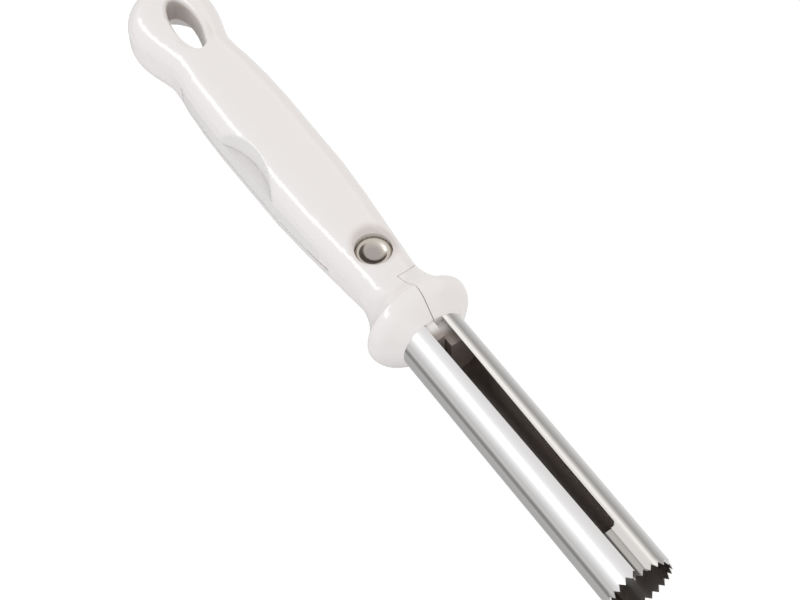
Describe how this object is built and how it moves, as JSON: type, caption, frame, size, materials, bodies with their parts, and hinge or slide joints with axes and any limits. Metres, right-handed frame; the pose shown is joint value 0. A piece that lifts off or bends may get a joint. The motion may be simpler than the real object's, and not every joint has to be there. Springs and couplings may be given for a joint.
{
  "type": "apple corer",
  "caption": "Apple corer with a white moulded handle and a toothed steel tube in two halves that open on a riveted pivot by a side lever.",
  "frame": {"origin": "on the tube's axis, where the tube leaves the front of the collar", "axes": "+X along the tube to the teeth, +Y to the side that the jaw opens to, +Z along the pivot rivet, up as it lies"},
  "size_m": [0.2354, 0.031, 0.031],
  "materials": {
    "white_moulding": "glossy white moulded plastic",
    "blade_steel": "bright polished stainless sheet, fine lengthwise grain",
    "rivet_steel": "satin turned steel"
  },
  "bodies": {
    "handle": {"handle": "white_moulding", "fixed_blade": "blade_steel", "rivet_barrel": "rivet_steel", "rivet_stud": "rivet_steel"},
    "jaw": {"jaw_lever": "white_moulding", "moving_blade": "blade_steel"}
  },
  "joints": [
    {"name": "jaw_pivot", "type": "hinge", "parent": "handle", "child": "jaw", "pos_m": [-0.028, 0, 0], "axis": [0, 0, 1], "range_deg": [0, 12]}
  ]
}
